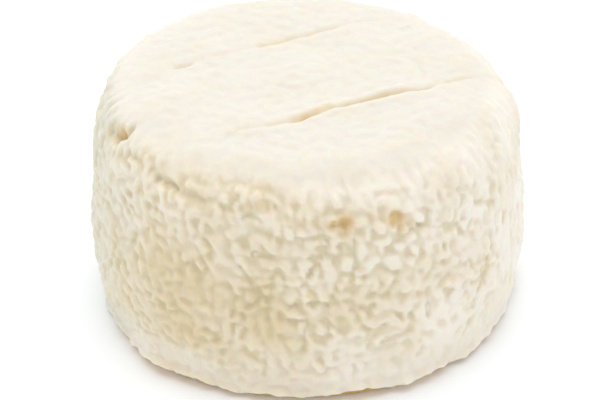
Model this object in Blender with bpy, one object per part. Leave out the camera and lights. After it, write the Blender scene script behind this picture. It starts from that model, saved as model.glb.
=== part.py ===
"""Crottin: one small drum of ripened goat cheese with a wrinkled white rind.

The drum is a turned shape that is closed by two discs, and the rind's relief is then
pressed into it along its normals: worm-like wrinkles round the wall, a rolled rim over
an undercut, the marks of a draining rack on the two flat faces, and a few open pits.
Metres, +Z up. The origin is the middle of the base that the cheese stands on, and the
side with the two pits under the rim faces -Y. Azimuths turn from -Y towards +X.
"""
import math

import bmesh
import bpy
import numpy as np

MM = 0.001

# Driving dimensions of the plain drum; its ridges stand about half a millimetre outside it
DIAMETER = 55 * MM
HEIGHT = 30.8 * MM
BELLY_HEIGHT = 0.28 * HEIGHT
TOP_TAPER = 0.077
FOOT_TAPER = 0.042
TAPER_POWER = 1.6
SHOULDER_RADIUS = 6.4 * MM
FOOT_RADIUS = 1.4 * MM

# Size of the mesh cells
DISC_CELLS = 18
COLUMNS = 8 * DISC_CELLS
WALL_ROWS = 26
PROFILE_SAMPLES = 400
DISC_MARGIN = 0.95
RING_START = math.radians(1)

# The slump of a soft cheese: azimuth and height of each swelling, its reach in degrees and
# up the wall, and how far it moves the drum out. The upper half also leans a little towards -X.
SWELLINGS = (
    (-82, 0, 30, 7.5 * MM, -1.15 * MM),
    (70, 1.5 * MM, 18, 4 * MM, -0.8 * MM),
    (98, 26 * MM, 24, 5 * MM, 0.5 * MM),
    (-138, 27 * MM, 22, 5 * MM, 0.6 * MM),
    (150, 16 * MM, 30, 9 * MM, 0.3 * MM),
    (-150, 9 * MM, 26, 7 * MM, -0.25 * MM),
)
PLAN_WAVES = ((2, 0.16 * MM, 0.7), (3, 0.14 * MM, 2.1), (5, 0.1 * MM, 4.0))
TOP_LEAN = 0.4 * MM

# Wrinkles of the rind
WRINKLE_SPACING = 3.9 * MM
WRINKLE_DEPTH = 0.62 * MM
WRINKLE_WAVES = 48
WRINKLE_BIAS = 0.35
WRINKLE_SOFTNESS = 0.7
FOOT_BAND = 4.5 * MM
FOOT_BAND_WRINKLES = 0.35
LUMP_SPACING = 11 * MM
LUMP_DEPTH = 0.14 * MM
LUMP_WAVES = 16
SEED = 27

# The rim rolls over an undercut that wanders round the top of the wall
RIM_HEIGHT = 26.9 * MM
RIM_WANDER = ((3, 0.5 * MM, 2.6), (8, 0.35 * MM, 0.4), (17, 0.22 * MM, 1.9))
RIM_ROLL = 0.22 * MM
RIM_ROLL_RISE = 1.9 * MM
RIM_ROLL_WIDTH = 1.7 * MM
RIM_UNDERCUT = 0.42 * MM
RIM_WIDTH = 0.85 * MM
RIM_LOWEST_SHARE = 0.35
RIM_BOLDEST_TURN = math.radians(-30)

# The lip where the soft foot has spread on the rack
LIP_HEIGHT = 1.0 * MM
LIP_WIDTH = 0.7 * MM
LIP_REACH = 0.25 * MM
LIP_BUMPS = ((11, 0.9), (19, 2.3), (31, 4.4))

# Marks of the rack's wires, on the top and on the base
RACK_ANGLE = math.radians(26.2)
MARK_WIDTH = 0.75 * MM
MARK_FADE = 7 * MM
MARK_WANDER = 0.2 * MM
MARK_WANDER_SPACING = 15 * MM
# Offset across the wires, first and last place along them, and depth
TOP_MARKS = ((-8.9 * MM, -14 * MM, 20 * MM, 0.55 * MM), (9.6 * MM, -14 * MM, 14 * MM, 0.25 * MM))
BASE_MARKS = ((-8.9 * MM, -17 * MM, 17 * MM, 0.3 * MM), (9.3 * MM, -17 * MM, 17 * MM, 0.3 * MM))

# Open pits in the rind: azimuth, height, width, length up the wall, and depth
WALL_REACH = DIAMETER / 4
WALL_PITS = (
    (10, 25.0 * MM, 3.1 * MM, 2.0 * MM, 1.0 * MM),
    (24, 24.3 * MM, 2.1 * MM, 2.8 * MM, 0.9 * MM),
    (-69, 28.2 * MM, 2.4 * MM, 2.2 * MM, 0.9 * MM),
    (-64, 29.2 * MM, 2.0 * MM, 2.4 * MM, 0.8 * MM),
    (31, 13.6 * MM, 1.5 * MM, 1.6 * MM, 0.45 * MM),
    (128, 22.0 * MM, 2.4 * MM, 1.8 * MM, 0.7 * MM),
    (-142, 17.5 * MM, 2.0 * MM, 2.2 * MM, 0.6 * MM),
)
# Pit in the top: x, y, width and depth
TOP_PIT = (-15.3 * MM, 3.1 * MM, 2.0 * MM, 0.5 * MM)

# Reach of each round of smaller cells beside a mark or outside the inner half of a pit
REFINE_REACH = (2.0 * MM, 1.0 * MM)

# How far a normal must tip up or down for the wall's relief to give way to a face's
FACE_START = 0.5
FACE_BLEND = 0.45
TINY = 0.001 * MM

RIND_COLOUR = (0.81, 0.735, 0.585, 1.0)
RIND_ROUGHNESS = 0.78


def remove_old_objects():
    """Empty the scene without closing the file that this script runs from."""
    for old in list(bpy.data.objects):
        bpy.data.objects.remove(old, do_unlink=True)


def wall_radius(height):
    """Radius of the plain wall, widest at the belly and drawn in above and below it."""
    above = np.clip((height - BELLY_HEIGHT) / (HEIGHT - BELLY_HEIGHT), 0, 1)
    below = np.clip((BELLY_HEIGHT - height) / BELLY_HEIGHT, 0, 1)
    taper = TOP_TAPER * above**TAPER_POWER + FOOT_TAPER * below**TAPER_POWER
    return DIAMETER / 2 * (1 - taper)


def turned_profile():
    """Radius and height of each ring, from the rim of the top down to the foot."""
    turn = np.linspace(math.pi / 2, 0, PROFILE_SAMPLES)
    shoulder_z = HEIGHT - SHOULDER_RADIUS * (1 - np.sin(turn))
    shoulder_r = wall_radius(shoulder_z) - SHOULDER_RADIUS * (1 - np.cos(turn))
    wall_z = np.linspace(HEIGHT - SHOULDER_RADIUS, FOOT_RADIUS, PROFILE_SAMPLES)[1:-1]
    foot_z = FOOT_RADIUS * (1 - np.sin(turn[::-1]))
    foot_r = wall_radius(foot_z) - FOOT_RADIUS * (1 - np.cos(turn[::-1]))
    radius = np.concatenate([shoulder_r, wall_radius(wall_z), foot_r])
    height = np.concatenate([shoulder_z, wall_z, foot_z])
    length = np.concatenate([[0], np.cumsum(np.hypot(np.diff(radius), np.diff(height)))])
    even = np.linspace(0, length[-1], WALL_ROWS + 1)
    return np.interp(even, length, radius), np.interp(even, length, height)


def add_wall(bm, radii, heights):
    """Turned wall: one ring of edges drawn down the profile. Returns its end loops."""
    first = bmesh.ops.create_circle(bm, segments=COLUMNS, radius=radii[0])["verts"]
    for vert in first:
        vert.co.z = heights[0]
    top_loop = list({edge for vert in first for edge in vert.link_edges})
    loop = top_loop
    for radius, height in zip(radii[1:], heights[1:]):
        grown = bmesh.ops.extrude_edge_only(bm, edges=loop)["geom"]
        for vert in (item for item in grown if isinstance(item, bmesh.types.BMVert)):
            reach = radius / vert.co.xy.length
            vert.co = (vert.co.x * reach, vert.co.y * reach, height)
        edges = (item for item in grown if isinstance(item, bmesh.types.BMEdge))
        loop = [edge for edge in edges if all(abs(vert.co.z - height) < TINY for vert in edge.verts)]
    return top_loop, loop


def in_turn(verts):
    """The points of a ring in the order of their angle about +Z."""
    return sorted(verts, key=lambda vert: (math.atan2(vert.co.y, vert.co.x) + RING_START) % (2 * math.pi))


def add_disc(bm, radius, height, loop):
    """Flat face: a square grid drawn out to a circle, with two wall columns to each of its edges."""
    grid = bmesh.ops.create_grid(bm, x_segments=DISC_CELLS, y_segments=DISC_CELLS, size=1)["verts"]
    for vert in grid:
        across = math.pi / 4 * vert.co.x
        along = math.pi / 4 * vert.co.y
        scale = math.sqrt(2) * radius * DISC_MARGIN
        x = scale * math.sin(across) * math.cos(along)
        y = scale * math.sin(along) * math.cos(across)
        vert.co = (x, y, height)
    inner = in_turn({vert for vert in grid if vert.is_boundary})
    outer = in_turn({vert for edge in loop for vert in edge.verts})
    for place, near in enumerate(inner):
        after = inner[(place + 1) % len(inner)]
        first, middle, last = (outer[(2 * place + step) % len(outer)] for step in range(3))
        for corners in ((first, middle, near), (middle, after, near), (middle, last, after)):
            bm.faces.new(corners)


def azimuth_of(points):
    """Angle of each point about +Z, from -Y towards +X."""
    return np.arctan2(points[:, 0], -points[:, 1])


def turn_between(azimuth, degrees):
    """Smallest turn from a place on the wall, in radians."""
    return (azimuth - math.radians(degrees) + math.pi) % (2 * math.pi) - math.pi


def bell(distance, width):
    """Smooth bump of height one that is gone at about twice its width."""
    return np.exp(-(distance / width) ** 2)


def wave_sum(azimuth, run, spacing, count, seed):
    """Random waves of one spacing on the unrolled wall, whole in number round it."""
    random = np.random.default_rng(seed)
    heading = random.uniform(0, 2 * math.pi, count)
    phase = random.uniform(0, 2 * math.pi, count)
    around = np.round(math.pi * DIAMETER / spacing * np.cos(heading))
    upward = 2 * math.pi / spacing * np.sin(heading)
    waves = np.cos(np.outer(azimuth, around) + np.outer(run, upward) + phase)
    return waves.sum(axis=1) * math.sqrt(2 / count)


def plane_waves(x, y, spacing, count, seed):
    """Random waves of one spacing on a flat face."""
    random = np.random.default_rng(seed)
    heading = random.uniform(0, 2 * math.pi, count)
    phase = random.uniform(0, 2 * math.pi, count)
    number = 2 * math.pi / spacing
    waves = np.cos(number * (np.outer(x, np.cos(heading)) + np.outer(y, np.sin(heading))) + phase)
    return waves.sum(axis=1) * math.sqrt(2 / count)


def ridges(waves):
    """Turn waves into broad round ridges with narrow grooves between them."""
    return np.tanh((waves + WRINKLE_BIAS) / WRINKLE_SOFTNESS) / 2


def rim_line(azimuth):
    """Height of the undercut below the rolled rim."""
    return RIM_HEIGHT + sum(size * np.cos(turns * azimuth + start) for turns, size, start in RIM_WANDER)


def mark_frame(x, y):
    """Places along and across the rack's wires."""
    along = x * math.cos(RACK_ANGLE) + y * math.sin(RACK_ANGLE)
    across = y * math.cos(RACK_ANGLE) - x * math.sin(RACK_ANGLE)
    return along, across


def mark_distance(x, y, mark):
    """Distance from the middle of one wire's mark, and how strong the mark is there."""
    offset, start, end, depth = mark
    along, across = mark_frame(x, y)
    wander = MARK_WANDER * np.sin(2 * math.pi * along / MARK_WANDER_SPACING)
    fade_in = np.clip((along - start) / MARK_FADE, 0, 1)
    fade_out = np.clip((end - along) / MARK_FADE, 0, 1)
    return across - offset - wander, depth * fade_in * fade_out


def wall_relief(azimuth, height):
    """Relief of the wall's rind, outward."""
    waves = wave_sum(azimuth, height, WRINKLE_SPACING, WRINKLE_WAVES, SEED)
    foot = FOOT_BAND_WRINKLES + (1 - FOOT_BAND_WRINKLES) * np.clip(height / FOOT_BAND, 0, 1) ** 2
    relief = WRINKLE_DEPTH * foot * ridges(waves)
    relief += LUMP_DEPTH * wave_sum(azimuth, height, LUMP_SPACING, LUMP_WAVES, SEED + 1)
    above = height - rim_line(azimuth)
    share = (1 + np.cos(2 * (azimuth - RIM_BOLDEST_TURN))) / 2
    share = RIM_LOWEST_SHARE + (1 - RIM_LOWEST_SHARE) * share
    relief += share * RIM_ROLL * bell(above - RIM_ROLL_RISE, RIM_ROLL_WIDTH)
    relief -= share * RIM_UNDERCUT * bell(above, RIM_WIDTH)
    bumps = sum(np.cos(turns * azimuth + start) for turns, start in LIP_BUMPS) / len(LIP_BUMPS)
    relief += LIP_REACH * (1 + bumps) * bell(height - LIP_HEIGHT, LIP_WIDTH)
    return relief


def slump(azimuth, height):
    """How far the drum has settled outward at each place of its rim."""
    outward = sum(size * np.cos(turns * azimuth + start) for turns, size, start in PLAN_WAVES)
    for degrees, level, turn, reach, amount in SWELLINGS:
        near = bell(turn_between(azimuth, degrees), math.radians(turn))
        outward += amount * near * bell(height - level, reach)
    return outward


def top_relief(x, y):
    """Relief of the top face, upward."""
    relief = LUMP_DEPTH * plane_waves(x, y, LUMP_SPACING, LUMP_WAVES, SEED + 2)
    for mark in TOP_MARKS:
        distance, depth = mark_distance(x, y, mark)
        relief -= depth * bell(distance, MARK_WIDTH)
    pit_x, pit_y, width, depth = TOP_PIT
    relief -= depth * bell(np.hypot(x - pit_x, y - pit_y), width / 2)
    return relief


def pit_relief(azimuth, height):
    """Depth of the open pits in the wall and the shoulder."""
    relief = np.zeros_like(azimuth)
    for degrees, level, width, length, depth in WALL_PITS:
        sideways = turn_between(azimuth, degrees) * DIAMETER / 2 / (width / 2)
        upward = (height - level) / (length / 2)
        relief -= depth * bell(np.hypot(sideways, upward), 1)
    return relief


def refine_features(bm):
    """Smaller cells along the rack's marks and round the pits, where the relief is sharp."""
    for reach in REFINE_REACH:
        points = np.array([vert.co for vert in bm.verts])
        x, y, z = points.T
        near = np.zeros(len(points), bool)
        for mark, flat_z in [(m, HEIGHT) for m in TOP_MARKS] + [(m, 0) for m in BASE_MARKS]:
            distance, depth = mark_distance(x, y, mark)
            near |= (np.abs(distance) < reach) & (depth > 0) & (np.abs(z - flat_z) < MARK_WIDTH)
        near |= (np.hypot(x - TOP_PIT[0], y - TOP_PIT[1]) < reach + TOP_PIT[2] / 2) & (z > HEIGHT / 2)
        azimuth = azimuth_of(points)
        on_wall = (z > FOOT_RADIUS) & (np.hypot(x, y) > WALL_REACH)
        for degrees, level, width, length, _ in WALL_PITS:
            sideways = turn_between(azimuth, degrees) * DIAMETER / 2
            beside = np.abs(sideways) < reach + width / 4
            near |= on_wall & beside & (np.abs(z - level) < reach + length / 4)
        bm.verts.index_update()
        fine = [edge for edge in bm.edges if near[edge.verts[0].index] and near[edge.verts[1].index]]
        bmesh.ops.subdivide_edges(bm, edges=fine, cuts=1, use_grid_fill=True)
    bmesh.ops.triangulate(bm, faces=bm.faces[:])


def press_relief(bm):
    """Move each point along the smooth drum's normal by the relief, then slump, lean and centre it."""
    bm.normal_update()
    points = np.array([vert.co for vert in bm.verts])
    normals = np.array([vert.normal for vert in bm.verts])
    x, y, z = points.T
    azimuth = azimuth_of(points)
    up_face = np.clip((normals[:, 2] - FACE_START) / FACE_BLEND, 0, 1)
    down_face = np.clip((-normals[:, 2] - FACE_START) / FACE_BLEND, 0, 1)
    wall = (1 - up_face) * (1 - down_face)
    relief = wall * wall_relief(azimuth, z) + up_face * top_relief(x, y)
    relief += (np.hypot(x, y) > WALL_REACH) * pit_relief(azimuth, z)
    points += normals * relief[:, None]
    points[:, 2] = np.maximum(points[:, 2], 0)
    on_base = z < TINY
    points[on_base, 2] = 0
    for mark in BASE_MARKS:
        distance, depth = mark_distance(x, y, mark)
        points[:, 2] += on_base * depth * bell(distance, MARK_WIDTH)
    points[:, :2] *= 1 + slump(azimuth, z)[:, None] / (DIAMETER / 2)
    points[:, 0] -= TOP_LEAN * np.clip(2 * z / HEIGHT - 1, 0, 1) ** 2
    low, high = points.min(axis=0), points.max(axis=0)
    points -= ((low[0] + high[0]) / 2, (low[1] + high[1]) / 2, low[2])
    for vert, point in zip(bm.verts, points):
        vert.co = point


def rind_material():
    """Dry, floury white rind."""
    material = bpy.data.materials.new("goat cheese rind")
    material.use_nodes = True
    shader = material.node_tree.nodes["Principled BSDF"]
    shader.inputs["Base Color"].default_value = RIND_COLOUR
    shader.inputs["Roughness"].default_value = RIND_ROUGHNESS
    shader.inputs["Metallic"].default_value = 0.0
    material.diffuse_color = RIND_COLOUR
    return material


def crottin():
    """The whole cheese as one closed solid."""
    bm = bmesh.new()
    radii, heights = turned_profile()
    top_loop, foot_loop = add_wall(bm, radii, heights)
    add_disc(bm, radii[0], heights[0], top_loop)
    add_disc(bm, radii[-1], heights[-1], foot_loop)
    bmesh.ops.recalc_face_normals(bm, faces=bm.faces[:])
    refine_features(bm)
    press_relief(bm)
    mesh = bpy.data.meshes.new("crottin")
    bm.to_mesh(mesh)
    bm.free()
    mesh.shade_smooth()
    mesh.materials.append(rind_material())
    cheese = bpy.data.objects.new("crottin", mesh)
    bpy.context.scene.collection.objects.link(cheese)
    return cheese


remove_old_objects()
crottin()
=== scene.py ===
# %% [markdown]
# # A small ripened goat cheese
# This lesson dresses one crottin: a drum of soft goat cheese, as wide as three fingers, whose
# white rind has shrunk into worm-like wrinkles. The measured solid is already there, so we
# read its box first and then make one fine skin that keeps inside that box.

# %% Load the measured solid
import math

import bpy
import numpy as np
from mathutils import Matrix, Vector


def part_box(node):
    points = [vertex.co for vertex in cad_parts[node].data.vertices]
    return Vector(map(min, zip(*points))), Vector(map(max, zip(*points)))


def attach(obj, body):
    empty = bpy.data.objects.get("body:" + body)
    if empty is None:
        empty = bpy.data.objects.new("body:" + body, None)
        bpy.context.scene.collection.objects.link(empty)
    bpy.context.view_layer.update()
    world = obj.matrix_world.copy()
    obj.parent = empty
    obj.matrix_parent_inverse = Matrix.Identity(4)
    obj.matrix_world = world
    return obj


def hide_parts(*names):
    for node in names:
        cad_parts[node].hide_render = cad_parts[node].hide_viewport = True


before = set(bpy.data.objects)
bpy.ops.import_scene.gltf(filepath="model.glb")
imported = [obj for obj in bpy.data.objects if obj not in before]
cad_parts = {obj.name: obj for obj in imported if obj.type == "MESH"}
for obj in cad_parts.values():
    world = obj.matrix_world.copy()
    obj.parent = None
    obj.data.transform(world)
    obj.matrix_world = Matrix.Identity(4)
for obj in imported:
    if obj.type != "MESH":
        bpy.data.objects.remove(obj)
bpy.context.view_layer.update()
low_corner, high_corner = (np.array(corner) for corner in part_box("crottin"))
print("solid box in mm:", np.round((high_corner - low_corner) * 1000, 1))

# %% [markdown]
# ## Two small helpers
# Everything below is thought out in millimetres, because that is how a cheese is measured, and
# colours are picked as sRGB hex values, because that is how a screen shows them. Blender mixes
# light in linear values, so one function turns the hex value into those. The other one adds a
# shader node with its settings and its links, which keeps each material readable as a recipe.

# %% Helpers for colours and nodes
MM = 0.001


def linear(hex_colour):
    """Linear red, green, blue and alpha of an sRGB hex colour."""
    channels = [int(hex_colour[start:start + 2], 16) / 255 for start in (1, 3, 5)]
    bent = [c / 12.92 if c <= 0.04045 else ((c + 0.055) / 1.055) ** 2.4 for c in channels]
    return (*bent, 1.0)


def add_node(tree, kind, settings=None, values=None, links=None):
    """New shader node: its own settings, the values of its sockets, and links into its sockets."""
    node = tree.nodes.new(kind)
    for name, value in (settings or {}).items():
        setattr(node, name, value)
    for socket, value in (values or {}).items():
        node.inputs[socket].default_value = value
    for socket, source in (links or {}).items():
        tree.links.new(source, node.inputs[socket])
    return node


print("cream in linear light:", np.round(linear("#f3ead6"), 3))

# %% [markdown]
# ## The drum before its wrinkles
# Fresh curd is ladled into a small mould and turned out as a plain drum. It then slumps a
# little: the belly is widest a third of the way up, the upper wall leans in to a round
# shoulder, and the foot stays sharp where it sat on the rack. That is a turned shape, so one
# profile of radius against height says it all. The rind will stand about half a millimetre
# outside it, so the drum is made that much smaller than the measured box.

# %% Profile of the plain drum
RIND_STANDS_OUT = 0.45 * MM
WIDTH = max(high_corner[:2] - low_corner[:2]) - 2 * RIND_STANDS_OUT
HEIGHT = high_corner[2] - low_corner[2] - 0.3 * MM
BELLY_HEIGHT = 0.28 * HEIGHT
TOP_TAPER = 0.077
FOOT_TAPER = 0.042
TAPER_POWER = 1.6
SHOULDER_RADIUS = 6.4 * MM
FOOT_RADIUS = 1.4 * MM
PROFILE_SAMPLES = 600
FOOT_CROWDING = 1.15


def wall_radius(height):
    """Radius of the plain wall, widest at the belly and drawn in above and below it."""
    above = np.clip((height - BELLY_HEIGHT) / (HEIGHT - BELLY_HEIGHT), 0, 1)
    below = np.clip((BELLY_HEIGHT - height) / BELLY_HEIGHT, 0, 1)
    return WIDTH / 2 * (1 - TOP_TAPER * above**TAPER_POWER - FOOT_TAPER * below**TAPER_POWER)


def turned_profile(rows):
    """Radius, height and run of each ring from the top's rim to the foot, where they crowd."""
    turn = np.linspace(math.pi / 2, 0, PROFILE_SAMPLES)
    shoulder_z = HEIGHT - SHOULDER_RADIUS * (1 - np.sin(turn))
    shoulder_r = wall_radius(shoulder_z) - SHOULDER_RADIUS * (1 - np.cos(turn))
    wall_z = np.linspace(HEIGHT - SHOULDER_RADIUS, FOOT_RADIUS, PROFILE_SAMPLES)[1:-1]
    foot_z = FOOT_RADIUS * (1 - np.sin(turn[::-1]))
    foot_r = wall_radius(foot_z) - FOOT_RADIUS * (1 - np.cos(turn[::-1]))
    radius = np.concatenate([shoulder_r, wall_radius(wall_z), foot_r])
    height = np.concatenate([shoulder_z, wall_z, foot_z])
    run = np.concatenate([[0], np.cumsum(np.hypot(np.diff(radius), np.diff(height)))])
    stops = run[-1] * (1 - np.linspace(1, 0, rows + 1) ** FOOT_CROWDING)
    return np.interp(stops, run, radius), np.interp(stops, run, height), stops


print("plain drum in mm:", round(WIDTH / MM, 1), "wide,", round(HEIGHT / MM, 1), "high")

# %% [markdown]
# ## A mesh fine enough for the wrinkles
# The wrinkles are about 2 mm apart, so cells of a third of a millimetre give each one six
# points across. A sculpt or a displacement map could carry them too, but points worked out by
# a rule give the same cheese every time and are still there when the mesh leaves Blender. The
# wall is rows of rings. Each flat face is a square grid drawn out to a circle, whose edge
# points are those of the last ring, so that the skin is one closed sheet with no seam.

# %% Points and faces of the plain drum
COLUMNS = 540
WALL_ROWS = 110
DISC_CELLS = COLUMNS // 4
radii, heights, runs = turned_profile(WALL_ROWS)
turns = 2 * math.pi * np.arange(COLUMNS) / COLUMNS - math.pi / 4


def ring_points():
    """Every point of the wall, ring after ring."""
    x = np.outer(radii, np.cos(turns))
    y = np.outer(radii, np.sin(turns))
    z = np.repeat(heights[:, None], COLUMNS, axis=1)
    return np.stack([x, y, z], axis=-1).reshape(-1, 3)


def disc_points(radius, height):
    """Points inside a disc: a square grid whose sides are drawn out to arcs of a circle."""
    side = math.pi / 4 * np.linspace(-1, 1, DISC_CELLS + 1)[1:-1]
    across, along = np.meshgrid(side, side, indexing="ij")
    reach = math.sqrt(2) * radius
    x = reach * np.sin(across) * np.cos(along)
    y = reach * np.sin(along) * np.cos(across)
    return np.stack([x, y, np.full_like(x, height)], axis=-1).reshape(-1, 3)


def disc_faces(ring, first_inside):
    """Quads of a disc whose outer points are a ring's and whose others are counted on."""
    cells = DISC_CELLS
    numbers = np.empty((cells + 1, cells + 1), int)
    numbers[cells, :] = ring[:cells + 1]
    numbers[:, cells] = ring[cells:2 * cells + 1][::-1]
    numbers[0, :] = ring[2 * cells:3 * cells + 1][::-1]
    numbers[:, 0] = np.append(ring[3 * cells:], ring[0])
    numbers[1:-1, 1:-1] = first_inside + np.arange((cells - 1) ** 2).reshape(cells - 1, cells - 1)
    corners = [numbers[:-1, :-1], numbers[1:, :-1], numbers[1:, 1:], numbers[:-1, 1:]]
    return np.stack(corners, axis=-1).reshape(-1, 4)


def wall_faces():
    """Quads between each ring and the next one down, facing outward."""
    here = np.arange(COLUMNS)
    after = (here + 1) % COLUMNS
    upper = COLUMNS * np.arange(WALL_ROWS)[:, None]
    lower = upper + COLUMNS
    corners = [upper + here, lower + here, lower + after, upper + after]
    return np.stack(corners, axis=-1).reshape(-1, 4)


wall = ring_points()
top_inside = disc_points(radii[0], heights[0])
base_inside = disc_points(radii[-1], heights[-1])
plain = np.concatenate([wall, top_inside, base_inside])
top_ring = np.arange(COLUMNS)
foot_ring = COLUMNS * WALL_ROWS + np.arange(COLUMNS)
top_faces = disc_faces(top_ring, len(wall))
base_faces = disc_faces(foot_ring, len(wall) + len(top_inside))[:, ::-1]
faces = np.concatenate([wall_faces(), top_faces, base_faces])
print("points:", len(plain), "triangles:", 2 * len(faces))

# %% [markdown]
# ## Where each point lies
# The relief is told by place on the cheese: the azimuth turns from the side that faces us
# towards the right, and the run is the way walked from the top's rim down the wall. Each
# point also needs the direction that the plain drum faces there, because rind grows outward.
# How far that direction tips up or down says whether a point belongs to the top, wall or base.

# %% Azimuth, run and outward direction
# How far up or down a point faces where each flat face begins, and where the wall has ended
TOP_FACING = (0.65, 0.99)
BASE_FACING = (0.6, 0.95)

down_slope = np.gradient(heights, runs)
out_slope = np.gradient(radii, runs)
azimuth = np.arctan2(plain[:, 0], -plain[:, 1])
height = plain[:, 2]
distance = np.hypot(plain[:, 0], plain[:, 1])
run = np.concatenate([
    np.repeat(runs, COLUMNS), np.zeros(len(top_inside)), np.full(len(base_inside), runs[-1]),
])
top_end = len(wall) + len(top_inside)
outward = np.zeros_like(plain)
outward[:len(wall), 0] = np.repeat(-down_slope, COLUMNS) * np.sin(azimuth[:len(wall)])
outward[:len(wall), 1] = np.repeat(down_slope, COLUMNS) * np.cos(azimuth[:len(wall)])
outward[:len(wall), 2] = np.repeat(out_slope, COLUMNS)
outward[len(wall):top_end, 2] = 1
outward[top_end:, 2] = -1
outward /= np.linalg.norm(outward, axis=1, keepdims=True)


def smooth_step(value, start, end):
    """Zero before start, one after end, and an even S between them."""
    share = np.clip((value - start) / (end - start), 0, 1)
    return share * share * (3 - 2 * share)


def bell(reach, width):
    """Bump of height one that is gone at about twice its width."""
    return np.exp(-(reach / width) ** 2)


def turn_from(degrees):
    """Turn of each point from an azimuth, as a length along the wall."""
    turn = (azimuth - math.radians(degrees) + math.pi) % (2 * math.pi) - math.pi
    return turn * WIDTH / 2


def band(degrees, wide):
    """Soft band from foot to rim round one azimuth, with its reach round the wall."""
    return bell(turn_from(degrees), wide)


def patch(degrees, level, wide, tall):
    """Soft oval round one azimuth and height, with its reach round and up the wall."""
    return band(degrees, wide) * bell(height - level, tall)


on_top = smooth_step(outward[:, 2], *TOP_FACING)
on_base = smooth_step(-outward[:, 2], *BASE_FACING)
on_wall = (1 - on_top) * (1 - on_base)
print("share of points on the wall:", round(float(on_wall.mean()), 2))

# %% [markdown]
# ## Random waves that close round the drum
# Nature's wrinkles have a spacing but no order. A sum of waves of one spacing, each with its
# own heading and start, has just that. On the unrolled wall each wave must fit a whole number
# of times round the drum, or a seam would show at the back, so its number is rounded.

# %% Sums of random waves
WAVE_COUNT = 100
SPACING_SPREAD = 0.25


def random_waves(seed, spacing):
    """Headings, starts and wave numbers for waves near one spacing."""
    random = np.random.default_rng(seed)
    heading = random.uniform(0, 2 * math.pi, WAVE_COUNT)
    start = random.uniform(0, 2 * math.pi, WAVE_COUNT)
    spacings = spacing * np.exp(SPACING_SPREAD * random.standard_normal(WAVE_COUNT))
    return heading, start, 2 * math.pi / spacings


def wall_waves(seed, spacing, shift_round=0.0, shift_down=0.0):
    """Waves on the unrolled wall, drawn aside by the two shifts."""
    heading, start, number = random_waves(seed, spacing)
    around = np.round(number * np.cos(heading) * WIDTH / 2)
    place_round = azimuth + shift_round / (WIDTH / 2)
    place_down = run + shift_down
    total = np.zeros(len(plain))
    for turns_round, down, begin in zip(around, number * np.sin(heading), start):
        total += np.cos(turns_round * place_round + down * place_down + begin)
    return total * math.sqrt(2 / WAVE_COUNT)


def face_waves(seed, spacing):
    """Waves on a flat face."""
    heading, start, number = random_waves(seed, spacing)
    total = np.zeros(len(plain))
    for turn, count, begin in zip(heading, number, start):
        along = math.cos(turn) * plain[:, 0] + math.sin(turn) * plain[:, 1]
        total += np.cos(count * along + begin)
    return total * math.sqrt(2 / WAVE_COUNT)


print("waves in each sum:", WAVE_COUNT)

# %% [markdown]
# ## Wrinkles of the wall
# While the cheese dries, a soft mould skin grows faster than the curd under it shrinks, so the
# skin buckles into worms: round ridges about a millimetre wide, with grooves as wide between
# them. The waves are first drawn aside by slower ones, so that the worms bend, small waves
# break them up, and a tanh then rounds them off. On the left the skin is finer. It is boldest
# a little right of the middle, calmer on the far right, and calmest near the rim and the foot.

# %% Worm-like wrinkles
COARSE_SPACING = 2.3 * MM
FINE_SPACING = 1.8 * MM
BREAK_SPACING = 1.3 * MM
BREAK_SHARE = 0.25
SWAY_SPACING = 13 * MM
SWAY = 0.3 * MM
PATCH_SPACING = 12 * MM
PATCH_CONTRAST = 1.2
# Share of the finer worms: in random patches, on the left, and where that is as azimuth and reach
FINE_PATCHES = 0.3
FINE_LEFT = 0.7
LEFT_SIDE = (-45, 15 * MM)
GROOVE_BIAS = -0.05
RIDGE_SOFTNESS = 1.2
COARSE_DEPTH = 0.52 * MM
FINE_DEPTH = 0.5 * MM
# Share of their depth that the worms keep at the foot and at the rim
WORMS_AT_FOOT = 0.5
WORMS_AT_RIM = 0.45
USUAL_VIGOUR = 0.85
VIGOUR_SWING = 0.3
VIGOUR_SPACING = 5 * MM
# Azimuth in degrees, height, reach round and up the wall, and how much bolder the worms are there
VIGOUR_CHANGES = (
    (12, 17 * MM, 18 * MM, 10 * MM, 0.2),
    (42, 7 * MM, 14 * MM, 5 * MM, -0.3),
    (85, HEIGHT / 2, 18 * MM, math.inf, -0.35),
)

sway_round = SWAY * wall_waves(11, SWAY_SPACING)
sway_down = SWAY * wall_waves(12, SWAY_SPACING)
coarse = wall_waves(13, COARSE_SPACING, sway_round, sway_down)
fine = wall_waves(14, FINE_SPACING, sway_round, sway_down)
patchy = 0.5 + 0.5 * np.tanh(PATCH_CONTRAST * wall_waves(15, PATCH_SPACING))
fine_share = np.clip(FINE_LEFT * band(*LEFT_SIDE) + FINE_PATCHES * patchy, 0, 1)
mixed = np.sqrt(1 - fine_share) * coarse + np.sqrt(fine_share) * fine
mixed = mixed + BREAK_SHARE * wall_waves(17, BREAK_SPACING)
worms = np.tanh((mixed + GROOVE_BIAS) / RIDGE_SOFTNESS)
worm_depth = COARSE_DEPTH + (FINE_DEPTH - COARSE_DEPTH) * fine_share
calm_foot = WORMS_AT_FOOT + (1 - WORMS_AT_FOOT) * smooth_step(height, 1 * MM, 5 * MM)
calm_rim = WORMS_AT_RIM + (1 - WORMS_AT_RIM) * smooth_step(run, 2 * MM, 8 * MM)
vigour = USUAL_VIGOUR + sum(amount * patch(*where) for *where, amount in VIGOUR_CHANGES)
vigour = vigour + VIGOUR_SWING * np.tanh(wall_waves(16, VIGOUR_SPACING))
wrinkles = worm_depth / 2 * vigour * calm_foot * calm_rim * worms
print("wrinkles from", round(wrinkles.min() / MM, 2), "to", round(wrinkles.max() / MM, 2), "mm")

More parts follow.
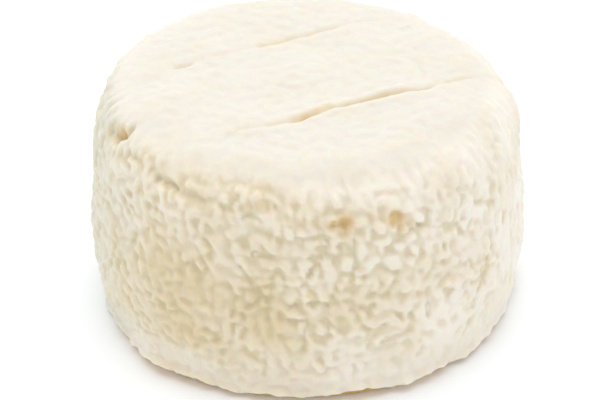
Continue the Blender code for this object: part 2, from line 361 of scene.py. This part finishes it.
# %% [markdown]
# ## Rim, lip and slump
# Where the rind of the top meets that of the wall it has rolled over and left an undercut that
# wanders up and down like a hem. The foot has spread into a thin uneven lip on the rack, which
# has lifted off it here and there and throws a dark line under itself. The drum is not quite
# round either: its foot is drawn in on the left and a little on the right, and it bulges
# under the rim on the right and at the back. Each is a smooth bump or a few slow waves, so a
# short list of places and sizes is enough. The slump is kept apart, because it moves top,
# wall and base sideways together.

# %% Rim, lip and slump
# Waves round the drum: how many, their size, and where each starts
RIM_WANDER = ((3, 0.5 * MM, 2.6), (8, 0.35 * MM, 0.4), (17, 0.22 * MM, 1.9))
PLAN_WAVES = ((2, 0.16 * MM, 0.7), (3, 0.14 * MM, 2.1), (5, 0.1 * MM, 4.0))
LIP_BUMPS = ((11, 0.25, 0.9), (19, 0.25, 2.3), (31, 0.25, 4.4), (53, 0.25, 0.2))
RIM_HEIGHT = 26.9 * MM
RIM_ROLL = 0.2 * MM
RIM_ROLL_RISE = 1.7 * MM
RIM_UNDERCUT = 0.2 * MM
RIM_WIDTH = 0.55 * MM
# Shares that the roll fades to on two sides and in patches, and the turn that sets those sides
RIM_LEAST = 0.35
RIM_LEAST_PATCH = 0.6
RIM_SIDES = math.radians(60)
LIP_WIDTH = 0.4 * MM
LIP_REACH = 0.5 * MM
LIP_SWING = 1.4
LIFT_SWING = 0.8
LOW_LIFT = 0.6 * MM
# Where the lip is even: azimuth in degrees, reach along the wall, and how much it is calmed
EVEN_LIPS = ((-78, 16 * MM, 0.8), (76, 13 * MM, 0.7))
# Where the lip has lifted off: azimuth in degrees, then width along the wall and height in mm
LIFTS = (
    (-40, 8, 0.75), (-12, 3, 0.5), (14, 5.5, 0.85), (37, 3, 0.6),
    (62, 5, 0.4), (108, 8, 0.6), (152, 5, 0.5), (-158, 7, 0.7), (-105, 6, 0.5),
)
UNDERCUT_DEPTH = 0.3 * MM
# Azimuth in degrees and height of each swelling, its reach round and up the wall, and its amount
SWELLINGS = (
    (-82, 0, 14.4 * MM, 7.5 * MM, -1.15 * MM),
    (70, 1.5 * MM, 8.6 * MM, 4 * MM, -0.8 * MM),
    (98, 26 * MM, 11.5 * MM, 5 * MM, 0.5 * MM),
    (-138, 27 * MM, 10.6 * MM, 5 * MM, 0.6 * MM),
    (150, 16 * MM, 14.5 * MM, 9 * MM, 0.3 * MM),
    (-150, 9 * MM, 12.5 * MM, 7 * MM, -0.25 * MM),
)


def slow_waves(waves):
    """Sum of a few waves round the drum."""
    return sum(size * np.cos(count * azimuth + start) for count, size, start in waves)


above_rim = height - RIM_HEIGHT - slow_waves(RIM_WANDER)
rim_share = RIM_LEAST + (1 - RIM_LEAST) * (0.5 + 0.5 * np.cos(2 * azimuth + RIM_SIDES))
rim_share = rim_share * (RIM_LEAST_PATCH + (1 - RIM_LEAST_PATCH) * patchy)
rim = rim_share * RIM_ROLL * bell(above_rim - RIM_ROLL_RISE, 2 * RIM_WIDTH)
undercut = rim_share * bell(above_rim, RIM_WIDTH)
evenness = sum(calm * band(place, wide) for place, wide, calm in EVEN_LIPS)
lip_bumps = slow_waves(LIP_BUMPS) * (1 - evenness)
lift = LOW_LIFT * (1 + LIFT_SWING * lip_bumps)
for place, wide, rise in LIFTS:
    lift = lift + rise * MM * band(place, wide * MM)
lip = LIP_REACH * (1 + LIP_SWING * lip_bumps) * bell(height - lift - LIP_WIDTH, LIP_WIDTH)
under_lip = smooth_step(lift - height, -0.1 * MM, 0.45 * MM)
lip = lip - UNDERCUT_DEPTH * under_lip * smooth_step(lift, 0, LOW_LIFT + UNDERCUT_DEPTH)
slump = sum(amount * patch(*where) for *where, amount in SWELLINGS) + slow_waves(PLAN_WAVES)
print("slump from", round(slump.min() / MM, 2), "to", round(slump.max() / MM, 2), "mm")

# %% [markdown]
# ## Folds of their own
# A few grooves and ridges are bolder than the worms round them, and the eye knows the cheese
# by them: the dark hem on the left, a short trench at the middle, a bright ridge over it and
# the long creases on the right. Each is a stroke through two or three places on the wall,
# with a width and a height, and the same rule draws them all.

# %% Bold grooves and ridges on the wall
FOLD_STRENGTH = 1.2
FOLD_WAVER = 0.16 * MM
WAVER_SPACING = 2.2 * MM
# A fold of this depth takes this share of the worms away
CALM_DEPTH = 0.25 * MM
CALM_SHARE = 0.7
# Places as azimuth in degrees and height in mm, then width and depth in mm (a ridge is below zero)
FOLDS = (
    (((-43.5, 27.3), (-40, 27.0), (-36.5, 26.9)), 0.45, 0.6),
    (((-36.5, 26.9), (-33, 26.8), (-27, 26.6)), 0.45, 0.42),
    (((-16.2, 25.5), (-14, 25.7), (-12, 25.8)), 0.42, 0.42),
    (((-24, 28.6), (-19.5, 28.7), (-15, 29.2)), 0.4, 0.2),
    (((-14.5, 28.4), (-10, 28.6), (-7.5, 28.1), (-5, 27.4)), 0.4, 0.2),
    (((-16, 28.0), (-15.5, 26.8)), 0.35, -0.2),
    (((-12.5, 27.9), (-11.5, 26.7)), 0.35, -0.22),
    (((-8.5, 27.5), (-8, 26.3)), 0.3, -0.18),
    (((20, 27.7), (30, 27.4)), 0.35, 0.2),
    (((41, 26.5), (46, 25.3), (52, 24.6)), 0.4, 0.25),
    (((32, 24.8), (37, 23.9)), 0.4, 0.25),
    (((31.5, 22.9), (37, 21.9), (43, 21.1)), 0.4, 0.3),
    (((52, 22.4), (60, 20.6)), 0.4, 0.28),
    (((-51, 18.3), (-50, 15.9), (-48, 13.6)), 0.35, 0.25),
    (((-44, 21.0), (-47, 18.9)), 0.35, 0.22),
    (((-13, 20.9), (-8, 20.9)), 0.35, 0.3),
    (((-30, 18.3), (-27, 16.5)), 0.35, 0.22),
    (((-17, 19.0), (-14, 16.8), (-10, 14.9)), 0.35, 0.28),
    (((-4, 18.3), (1, 15.9)), 0.4, -0.3),
    (((-8, 14.7), (-3, 12.9)), 0.4, -0.26),
    (((-4, 14.0), (1, 14.8), (5, 14.8)), 0.35, 0.42),
    (((-10, 8.1), (-11, 4.0)), 0.35, 0.25),
    (((-4, 12.3), (0, 12.1), (-1, 8.1)), 0.35, 0.32),
    (((2, 26.1), (6, 22.8)), 0.35, 0.25),
    (((-2, 23.6), (4, 23.3)), 0.3, 0.22),
    (((13, 22.7), (13, 19.2)), 0.35, 0.3),
    (((6, 20.9), (12, 20.9)), 0.35, 0.28),
    (((9, 18.5), (15, 17.8)), 0.35, 0.28),
    (((18, 19.2), (24, 17.2)), 0.35, 0.28),
    (((38, 14.0), (47, 13.3)), 0.45, -0.42),
    (((53, 14.2), (51.5, 10.8)), 0.35, 0.3),
    (((55.5, 14.0), (54.5, 10.5)), 0.35, 0.28),
    (((40, 4.2), (44.5, 6.6)), 0.35, 0.22),
    (((44, 3.6), (48.5, 6.4)), 0.35, 0.22),
    (((33, 13.1), (33, 10.3)), 0.35, 0.28),
    (((21, 21.0), (26, 21.7), (31.5, 22.9)), 0.35, 0.3),
    (((44, 20.8), (47, 19.1)), 0.35, 0.25),
    (((55, 13.7), (52, 10.4), (49, 8.1)), 0.35, 0.3),
    (((15, 10.7), (20, 10.6)), 0.35, 0.28),
    (((20, 8.4), (27, 9.0)), 0.35, 0.25),
    (((5, 12.3), (9, 10.5)), 0.35, 0.28),
    (((12, 14.5), (16, 12.8)), 0.35, 0.25),
    (((-72.5, 27.7), (-66, 27.9)), 0.55, 0.65),
    (((-66, 27.9), (-63, 29.2)), 0.55, 0.7),
    (((110, 24.0), (124, 25.2), (140, 24.6)), 0.4, 0.4),
    (((172, 15.0), (180, 16.4), (190, 15.2)), 0.4, 0.4),
    (((-120, 20.0), (-112, 17.0), (-108, 12.0)), 0.4, 0.35),
)


def line_reach(sideways, upward, corners):
    """Distance of each point from a line through a few corners, given in the same two ways."""
    nearest = np.full(len(plain), np.inf)
    for (start_x, start_y), (end_x, end_y) in zip(corners, corners[1:]):
        step_x, step_y = end_x - start_x, end_y - start_y
        from_x, from_y = sideways - start_x, upward - start_y
        share = np.clip((from_x * step_x + from_y * step_y) / (step_x**2 + step_y**2), 0, 1)
        nearest = np.minimum(nearest, np.hypot(from_x - share * step_x, from_y - share * step_y))
    return nearest


folds = np.zeros(len(plain))
waver = FOLD_WAVER * wall_waves(21, WAVER_SPACING)
for places, width, depth in FOLDS:
    first_turn = places[0][0]
    corners = [(math.radians(turn - first_turn) * WIDTH / 2, level * MM) for turn, level in places]
    reach = line_reach(turn_from(first_turn), height, corners)
    folds -= FOLD_STRENGTH * depth * MM * bell(reach + waver, width * MM)
folds *= 1 - on_base
calm_folds = 1 - CALM_SHARE * np.clip(np.abs(folds) / CALM_DEPTH, 0, 1)
print("bold folds on the wall:", len(FOLDS))

# %% [markdown]
# ## Marks of the rack
# The cheese drained on a rack of wires, first on one face and then on the other. On the top
# two wires have left straight creases 18 mm apart: one deep, with the moist yellow paste
# showing in it, and one faint. Both wander a little and fade at the ends. The base has them
# too, since it lay on the same rack. A crease is a narrow valley with a slightly raised bank,
# and where its deep part starts it opens into a wedge. Two shallow curls of skin lie between
# the creases, drawn as the folds of the wall are.

# %% Creases on the two flat faces
RACK_ANGLE = math.radians(26.2)
CREASE_WIDTH = 0.34 * MM
WEDGE_SHARE = 0.7
WEDGE_LENGTH = 3 * MM
BANK_WIDTH = 1.1 * MM
BANK_SHARE = 0.3
CREASE_WANDER = 0.2 * MM
CREASE_WANDER_SPACING = 15 * MM
CREASE_WAVER = 0.1 * MM
CREASE_WAVER_SPACING = 3.4 * MM
UNEVEN_SHARE = 0.25
UNEVEN_SPACING = 3 * MM
FAINT_SHARE = 0.25
FAINT_FADE = 6 * MM
DEEP_FADE_IN = 1.2 * MM
DEEP_FADE_OUT = 5 * MM
# In mm: offset across the wires, where the mark starts and ends along them, where its deep part
# starts and ends, and its depth
TOP_CREASES = ((-8.95, (-16, 23), (-6.6, 14), 0.72), (9.5, (-16, 19), (-2, 12), 0.26))
BASE_CREASES = ((-8.9, (-19, 19), (-10, 12), 0.34), (9.3, (-19, 19), (-14, 6), 0.34))
# Corners of each curl, its width and its depth in mm
CURLS = (
    (((-2.8, -2.2), (-1.5, -2.7), (-0.4, -4.5)), 0.35, 0.13),
    (((10.9, 5.4), (13.0, 4.9), (14.4, 3.6), (15.0, -0.5)), 0.4, 0.13),
)


def along_and_across(sideways, upward, angle):
    """A place told by the ways along and across a line that leans by an angle."""
    along = sideways * math.cos(angle) + upward * math.sin(angle)
    across = upward * math.cos(angle) - sideways * math.sin(angle)
    return along, across


along_rack, across_rack = along_and_across(plain[:, 0], plain[:, 1], RACK_ANGLE)


def within(ends, fade_in, fade_out):
    """One between two places along the wires, fading to nought at them."""
    start, end = ends[0] * MM, ends[1] * MM
    begun = smooth_step(along_rack, start, start + fade_in)
    return begun * (1 - smooth_step(along_rack, end - fade_out, end))


def crease(offset, whole, deep, depth):
    """Relief of one wire's mark, and how deep into it each point lies from nought to one."""
    wander = CREASE_WANDER * np.sin(2 * math.pi * along_rack / CREASE_WANDER_SPACING)
    wander = wander + CREASE_WAVER * face_waves(31, CREASE_WAVER_SPACING)
    aside = across_rack - offset * MM - wander
    fade = FAINT_SHARE * within(whole, FAINT_FADE, FAINT_FADE)
    fade = fade + (1 - FAINT_SHARE) * within(deep, DEEP_FADE_IN, DEEP_FADE_OUT)
    uneven = np.tanh(face_waves(32, UNEVEN_SPACING))
    fade = fade * (1 - UNEVEN_SHARE + UNEVEN_SHARE * uneven)
    wedge = bell(along_rack - deep[0] * MM - WEDGE_LENGTH, WEDGE_LENGTH)
    valley = bell(aside, CREASE_WIDTH * (1 + WEDGE_SHARE * wedge)) * fade
    bank = BANK_SHARE * bell(np.abs(aside) - BANK_WIDTH, BANK_WIDTH / 2) * fade
    return depth * MM * (bank - valley), valley * depth


def face_creases(creases):
    """Relief of all the marks on one face, and how deep each point lies in the first of them."""
    reliefs, depths = zip(*(crease(*sizes) for sizes in creases))
    return sum(reliefs), sum(depths) / creases[0][-1]


top_marks, in_crease = face_creases(TOP_CREASES)
base_marks, in_base_crease = face_creases(BASE_CREASES)
for places, width, depth in CURLS:
    corners = [(x * MM, y * MM) for x, y in places]
    top_marks -= depth * MM * bell(line_reach(plain[:, 0], plain[:, 1], corners), width * MM)
print("deepest crease in mm:", round(-top_marks.min() / MM, 2))

# %% [markdown]
# ## Pits
# Here and there the skin did not close over a hole in the curd, and the moist tan paste shows
# in it. The two under the rim at the front are the largest, and since neither is a plain oval,
# each is two ovals that overlap. A pit has a steep wall, so it takes a bump with a flat
# bottom. On the top there is only a short dash in line with the faint crease.

# %% Open pits
# Azimuth in degrees, height, width, length up the wall, depth in mm, and lean in degrees
WALL_PITS = (
    (10.9, 24.9, 2.1, 2.2, 1.0, -8),
    (8.4, 24.9, 2.3, 1.2, 0.7, 8),
    (25.5, 24.5, 2.8, 2.0, 0.8, -25),
    (26.2, 23.5, 1.4, 2.0, 0.6, -10),
    (31, 13.6, 1.2, 1.5, 0.35, -20),
    (-67, 28.0, 2.4, 1.6, 0.6, 0),
    (128, 22.0, 2.4, 1.6, 0.7, 10),
    (-142, 17.5, 1.6, 2.2, 0.6, -15),
)
# Place, length along the rack's wires, breadth and depth in mm
TOP_PIT = (-15.1, 2.9, 2.6, 0.9, 0.4)
PIT_POWER = 5
PIT_RAGGED = 0.16
# How much paste a shallow pit shows besides its depth, and how much the dash on the top does
SHALLOW_PASTE = 0.1
TOP_PASTE = 0.2


def pit_share(sideways, upward):
    """One inside an oval pit, nought outside it, with a steep edge."""
    return 1 / (1 + np.hypot(sideways, upward) ** PIT_POWER)


pits = np.zeros(len(plain))
in_pit = np.zeros(len(plain))
ragged = PIT_RAGGED * wall_waves(24, WAVER_SPACING)
for degrees, level, width, length, depth, lean in WALL_PITS:
    sideways, upward = along_and_across(
        turn_from(degrees), height - level * MM, math.radians(lean))
    round_share = sideways / (width / 2 * MM)
    up_share = upward / (length / 2 * MM) + ragged
    share = pit_share(round_share, up_share) * (distance > WIDTH / 4)
    pits = np.minimum(pits, -depth * MM * share)
    in_pit = np.maximum(in_pit, share * min(1, depth + SHALLOW_PASTE))
top_x, top_y, top_length, top_breadth, top_depth = TOP_PIT
along, across = along_and_across(
    plain[:, 0] - top_x * MM, plain[:, 1] - top_y * MM, RACK_ANGLE)
share = pit_share(along / (top_length / 2 * MM), across / (top_breadth / 2 * MM))
share = share * (height > HEIGHT / 2)
pits -= top_depth * MM * share
in_pit = np.maximum(in_pit, share * TOP_PASTE)
print("pits:", len(WALL_PITS) + 1)

# %% [markdown]
# ## Press the relief into the skin
# The parts of the relief are now added up by place and each point is moved along its outward
# direction. The top is nearly smooth: slow lumps and a trace of the worms. The base is pressed
# flat, because the cheese stands on it, so only its grooves and the rack's marks go up into
# it. The top leans a little to the left, as a soft drum does that was turned out by hand. The
# mesh is then moved so that its box is centred as the solid's is.

# %% The finished skin
LUMPS = 0.15 * MM
WALL_LUMP_SPACING = 10 * MM
FACE_LUMP_SPACING = 11 * MM
TOP_LEAN = 0.4 * MM
TOP_WORMS = 0.075 * MM
BASE_WORMS = 0.2 * MM
FACE_WORM_SPACING = 2.6 * MM
FACE_RIDGE_BIAS = 0.4
BASE_GROOVE_START = 0.3

wall_relief = wrinkles * calm_folds + LUMPS * wall_waves(41, WALL_LUMP_SPACING)
wall_relief = wall_relief + rim - RIM_UNDERCUT * undercut + lip
face_worms = np.tanh(face_waves(42, FACE_WORM_SPACING) + FACE_RIDGE_BIAS)
top_relief = LUMPS * face_waves(43, FACE_LUMP_SPACING) + TOP_WORMS * face_worms + top_marks
base_grooves = np.clip(BASE_GROOVE_START - face_worms, 0, 1)
base_grooves = base_grooves * smooth_step(WIDTH / 2 - distance, 1 * MM, 6 * MM)
relief = on_wall * wall_relief + on_top * top_relief + folds + pits
skin = plain + outward * relief[:, None]
standing = height < 0.01 * MM
skin[:, 2] = np.where(standing, 0, np.maximum(skin[:, 2], 0))
skin[:, 2] += np.where(standing, BASE_WORMS * base_grooves - np.minimum(base_marks, 0), 0)
skin[:, :2] *= 1 + slump[:, None] / (WIDTH / 2)
skin[:, 0] -= TOP_LEAN * smooth_step(height, HEIGHT / 2, HEIGHT)
middle = (skin.min(axis=0) + skin.max(axis=0)) / 2
skin -= (middle[0], middle[1], 0)

rind_mesh = bpy.data.meshes.new("rind")
rind_mesh.from_pydata(skin.tolist(), [], faces.tolist())
rind_mesh.validate()
rind_mesh.shade_smooth()
rind = bpy.data.objects.new("rind", rind_mesh)
bpy.context.scene.collection.objects.link(rind)
print("skin in mm:", np.round((skin.max(axis=0) - skin.min(axis=0)) / MM, 2))

# %% [markdown]
# ## Tell the material what lies where
# Several things change the rind's colour: how deep a point lies in a groove, undercut or fold,
# which is painted as shade; how much of it is open paste; how creamy the skin is there, with
# painted shade at the front left and the left of the rim; where the bloom is greyer and darker,
# partly painted shade; where shade is painted tan under the lip and foot; and what belongs to the
# two flat faces. We know them already, so they are kept on the mesh as values from nought to
# one, and the material reads them by name.

# %% Values kept on the mesh
# Painted groove shade near rim and foot, in the undercut and on a flat face, and how deep a full
# fold is
EDGE_GROOVE_SHADE = 0.35
UNDERCUT_SHADE = 0.6
FLAT_GROOVE = 0.3
FULL_FOLD = 0.5 * MM
CREASE_PASTE = 0.75
PATCHY_CREAM = 0.25
# Share of painted shade at the left of the rim, in the creamy colour
RIM_SHADE_SHARE = 0.4
# Breadth of the ring of painted shade under the foot, and how ragged and how soft its inner edge
# is
FOOT_SHADE_RING = 3.6 * MM
FOOT_SHADE_RAGGED = 3 * MM
FOOT_SHADE_FADE = 1.8 * MM
# How much nearer to the rim the painted groove shade comes on one side, or stays off on the other
RIM_SHADE_SHIFT = 3 * MM
# Azimuth in degrees and reach along the wall
DEEP_SHADE_SIDE = (-38, 18 * MM)
PALE_SHADE_SIDE = (55, 20 * MM)
# Far left, azimuth in degrees and reach: the bloom is greyer there, and darker as painted shade
GREY_AND_SHADE_SIDE = (-84, 13 * MM)
# Azimuth in degrees, height, and reach round and up the wall
CREAM_AND_SHADE_FRONT = (-34, 13 * MM, 22 * MM, 9.5 * MM)
RIM_SHADE_PATCH = (-30, 28.5 * MM, 12 * MM, 3 * MM)


def flat_groove(pressed):
    """Painted groove shade on a flat face, from how deep each point lies in its marks."""
    return FLAT_GROOVE + (1 - FLAT_GROOVE) * pressed


# Painted shade: the groove value darkens grooves, the undercut and folds towards straw, less near
# rim and foot
rim_shift = RIM_SHADE_SHIFT * (band(*DEEP_SHADE_SIDE) - band(*PALE_SHADE_SIDE))
past_rim = smooth_step(run + rim_shift, 4 * MM, 11 * MM)
past_foot = smooth_step(height, 2 * MM, 8 * MM)
groove_shade_level = EDGE_GROOVE_SHADE + (1 - EDGE_GROOVE_SHADE) * past_rim * past_foot
groove_shade = on_wall * vigour * groove_shade_level * np.clip(0.5 - 0.5 * worms, 0, 1)
groove_shade = groove_shade + UNDERCUT_SHADE * on_wall * undercut + np.clip(-folds / FULL_FOLD, 0, 1)
# Painted shade under the lip and round the foot, tan like light thrown back through the curd
foot_shade = 1 - smooth_step(height - lift, -0.2 * MM, 0.3 * MM)
base_edge = WIDTH / 2 - FOOT_SHADE_RING + FOOT_SHADE_RAGGED * ragged
foot_shade = foot_shade * smooth_step(distance, base_edge, base_edge + FOOT_SHADE_FADE)
pressed_in = np.clip(base_grooves + in_base_crease, 0, 1)
on_faces = np.maximum(on_top * flat_groove(in_crease), on_base * flat_groove(pressed_in))
groove_shade = np.clip(np.maximum(groove_shade, np.maximum(foot_shade, on_faces)), 0, 1)
paste = np.clip(in_pit + CREASE_PASTE * on_top * in_crease, 0, 1)
# Creamy at the front left, partly painted shade there, in random patches, and painted shade at the
# left of the rim
cream_and_shade = patch(*CREAM_AND_SHADE_FRONT) * on_wall
cream_and_shade = cream_and_shade * (1 - PATCHY_CREAM + PATCHY_CREAM * patchy) + PATCHY_CREAM * patchy * on_wall
cream_and_shade = np.clip(cream_and_shade + RIM_SHADE_SHARE * patch(*RIM_SHADE_PATCH), 0, 1)

kept = {
    "groove_shade": groove_shade, "paste": paste, "cream_and_shade": cream_and_shade,
    "grey_and_shade": band(*GREY_AND_SHADE_SIDE) * on_wall, "lip_shade": foot_shade, "face": on_top + on_base,
}
for name, values in kept.items():
    layer = rind_mesh.attributes.new(name, "FLOAT", "POINT")
    layer.data.foreach_set("value", values.astype(np.float32))
print("mean of each:", {name: round(float(values.mean()), 2) for name, values in kept.items()})

# %% [markdown]
# ## The natural rind
# The rind is a dry felt of white mould on curd. It has no gloss, and light goes a few
# millimetres into the curd and comes back warmer. Grooves, the undercut and folds are painted
# a darker straw, never grey: painted shade, which leaves the ridges whitest. The shader is a
# rough dielectric with an IOR of 1.45, as fats and proteins have, and a subsurface that is
# longest for red. Where the paste lies open it is tan and a little moist. Under the lip the
# edge that the cheese stands on is painted tan as well, as painted shade.

# %% Rind material
FELT_GRAIN = 0.45 * MM
CURD_GRAIN = 1.1 * MM
BLOTCH = 6 * MM
LIGHT_REACH = 1.6 * MM
DRY_ROUGHNESS = 0.86
PASTE_ROUGHNESS = 0.5
WHITE_BLOOM = "#f1eadf"
# Creamier skin, also used for painted shade at the front left and the left of the rim
CREAM_AND_SHADE_SKIN = "#dccca9"
# Greyer bloom, darker as painted shade on the far left
GREY_AND_SHADE_BLOOM = "#d6d5c8"
FACE_SKIN = "#e1dcd1"
# Painted shade in grooves, the undercut and folds, warm straw in tone
GROOVE_SHADE_STRAW = "#d6c69b"
DRY_BLOTCH = "#e0d4ba"
BARE_CURD = "#eee8dc"
OPEN_PASTE = "#dcbe84"
# Painted shade under the lip, in tan
FOOT_SHADE_TAN = "#d2aa66"


def mix_colours(tree, factor, first, second):
    """Colour between two others, which may be hex values or sockets."""
    node = add_node(tree, "ShaderNodeMix", {"data_type": "RGBA"}, links={"Factor": factor})
    for socket, colour in ((node.inputs[6], first), (node.inputs[7], second)):
        if isinstance(colour, str):
            socket.default_value = linear(colour)
        else:
            tree.links.new(colour, socket)
    return node.outputs[2]


def blend_factor(tree, value, start, end, top):
    """A value read as nought up to start and as top from end on."""
    limits = {"From Min": start, "From Max": end, "To Min": 0.0, "To Max": top}
    node = add_node(tree, "ShaderNodeMapRange", values=limits, links={"Value": value})
    return node.outputs["Result"]


def goat_cheese_rind():
    """Dry white mould skin over soft goat curd."""
    material = bpy.data.materials.new("dry mould rind on goat curd")
    material.use_nodes = True
    tree = material.node_tree
    tree.nodes.clear()
    place = add_node(tree, "ShaderNodeTexCoord").outputs["Object"]
    marks = {
        name: add_node(tree, "ShaderNodeAttribute", {"attribute_name": name}).outputs["Fac"]
        for name in kept
    }

    def grain(spacing, detail):
        sizes = {"Scale": 1 / spacing, "Detail": detail, "Roughness": 0.55}
        node = add_node(tree, "ShaderNodeTexNoise", values=sizes, links={"Vector": place})
        return node.outputs["Fac"]

    # Painted groove shade: how far each groove is darkened to straw
    groove_shading = blend_factor(tree, marks["groove_shade"], 0.3, 1.0, top=0.6)
    blotched = blend_factor(tree, grain(BLOTCH, 3.0), 0.45, 0.75, top=0.35)
    curdy = blend_factor(tree, grain(CURD_GRAIN, 4.0), 0.5, 0.8, top=0.3)
    colour = mix_colours(tree, marks["cream_and_shade"], WHITE_BLOOM, CREAM_AND_SHADE_SKIN)
    # The groove, far-left grey and foot mixes paint shade into the colour, the creamy one in part
    for factor, tint in (
        (marks["grey_and_shade"], GREY_AND_SHADE_BLOOM),
        (marks["face"], FACE_SKIN),
        (groove_shading, GROOVE_SHADE_STRAW),
        (blotched, DRY_BLOTCH),
        (curdy, BARE_CURD),
        (marks["paste"], OPEN_PASTE),
        (marks["lip_shade"], FOOT_SHADE_TAN),
    ):
        colour = mix_colours(tree, factor, colour, tint)
    felt = add_node(
        tree, "ShaderNodeBump", values={"Strength": 0.35, "Distance": 0.12 * MM},
        links={"Height": grain(FELT_GRAIN, 5.0)},
    ).outputs["Normal"]
    rough = add_node(
        tree, "ShaderNodeMapRange", values={"To Min": DRY_ROUGHNESS, "To Max": PASTE_ROUGHNESS},
        links={"Value": marks["paste"]},
    ).outputs["Result"]
    shader = add_node(
        tree, "ShaderNodeBsdfPrincipled",
        values={
            "IOR": 1.45, "Metallic": 0.0, "Specular IOR Level": 0.3,
            "Subsurface Weight": 0.7, "Subsurface Scale": LIGHT_REACH,
            "Subsurface Radius": (1.0, 0.62, 0.3),
            "Sheen Weight": 0.15, "Sheen Roughness": 0.5,
        },
        links={"Base Color": colour, "Roughness": rough, "Normal": felt},
    ).outputs["BSDF"]
    add_node(tree, "ShaderNodeOutputMaterial", links={"Surface": shader})
    return material


rind_mesh.materials.append(goat_cheese_rind())
print("felt grain in mm:", round(FELT_GRAIN / MM, 2))

# %% [markdown]
# ## Tie the skin to the measured solid
# The plain solid stays for weight and collision, and the fine skin stands for it in the
# picture. A cheese has no moving parts, so the skin rides on the one body there is.

# %% Ride and replace
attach(rind, "root")
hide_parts("crottin")
print("the fine skin stands for the solid crottin")

# %% [markdown]
# ## Floor and light
# White food on white needs light that is soft but not flat. The floor glows faintly, as a lit
# table does, and a little cool, so that it goes white up to the thin contact shadow and the
# cheese does not tint it. One wide softbox overhead, a little behind, makes the top the
# brightest face, a weak one at the right lifts that side, and the left front falls off to
# cream, which is where the wrinkles read best.

# %% Floor
FLOOR_SIZE = 3.0
FLOOR_GLOW = 0.085
bpy.ops.mesh.primitive_plane_add(size=FLOOR_SIZE, location=(0, 0, 0))
floor = bpy.context.object
floor.name = "floor"
floor_paint = bpy.data.materials.new("matt white studio floor")
floor_paint.use_nodes = True
floor_shader = floor_paint.node_tree.nodes["Principled BSDF"]
floor_shader.inputs["Base Color"].default_value = linear("#f5f7f8")
floor_shader.inputs["Roughness"].default_value = 0.9
floor_shader.inputs["Specular IOR Level"].default_value = 0.1
floor_shader.inputs["Emission Color"].default_value = linear("#e4eeff")
floor_shader.inputs["Emission Strength"].default_value = FLOOR_GLOW
floor.data.materials.append(floor_paint)

# %% Lights
SKY_STRENGTH = 0.79


def softbox(name, place, size, power, tint):
    """Square area light that looks at the cheese."""
    light = bpy.data.lights.new(name, "AREA")
    light.shape = "SQUARE"
    light.size = size
    light.energy = power
    light.color = linear(tint)[:3]
    lamp = bpy.data.objects.new(name, light)
    lamp.location = place
    aim = Vector((0, 0, HEIGHT / 2)) - Vector(place)
    lamp.rotation_euler = aim.to_track_quat("-Z", "Y").to_euler()
    bpy.context.scene.collection.objects.link(lamp)


softbox("overhead softbox", (-0.04, 0.12, 0.8), 1.2, 4.7, "#ffffff")
softbox("right softbox", (0.8, -0.2, 0.45), 0.6, 0.18, "#ffffff")
sky = bpy.data.worlds.new("white studio")
sky.use_nodes = True
backdrop = sky.node_tree.nodes["Background"]
backdrop.inputs["Color"].default_value = linear("#ffffff")
backdrop.inputs["Strength"].default_value = SKY_STRENGTH
bpy.context.scene.world = sky
bpy.context.scene.view_settings.view_transform = "Standard"

# %% [markdown]
# ## Camera
# The two ends of the top's oval and the low side of the wall fit a camera that looks down by
# 31 degrees from well back, with hardly any perspective. It is moved sideways and down in its
# own plane, not turned, to set the cheese a little high in the frame as it is in the picture.

# %% Camera from the fitted view
PICTURE_WIDTH = 600
PICTURE_HEIGHT = 400
ELEVATION = math.radians(31.1)
CAMERA_DISTANCE = 448 * MM
PIXELS_PER_MM = 7.9
CHEESE_COLUMN = 307.4
CHEESE_ROW = 182.2
SENSOR_WIDTH = 36.0

look = Vector((0, math.cos(ELEVATION), -math.sin(ELEVATION)))
up = Vector((0, math.sin(ELEVATION), math.cos(ELEVATION)))
right = Vector((1, 0, 0))
aside = (PICTURE_WIDTH / 2 - CHEESE_COLUMN) / PIXELS_PER_MM * MM
raised = (CHEESE_ROW - PICTURE_HEIGHT / 2) / PIXELS_PER_MM * MM
camera_lens = bpy.data.cameras.new("camera")
camera_lens.sensor_width = SENSOR_WIDTH
camera_lens.lens = SENSOR_WIDTH * PIXELS_PER_MM * CAMERA_DISTANCE / MM / PICTURE_WIDTH
camera_lens.clip_start = 0.01
camera = bpy.data.objects.new("camera", camera_lens)
place = Vector((0, 0, HEIGHT / 2)) - look * CAMERA_DISTANCE + right * aside + up * raised
camera.matrix_world = Matrix.Translation(place) @ Matrix((right, up, -look)).transposed().to_4x4()
bpy.context.scene.collection.objects.link(camera)
bpy.context.scene.camera = camera
print("lens in mm:", round(camera_lens.lens, 1))
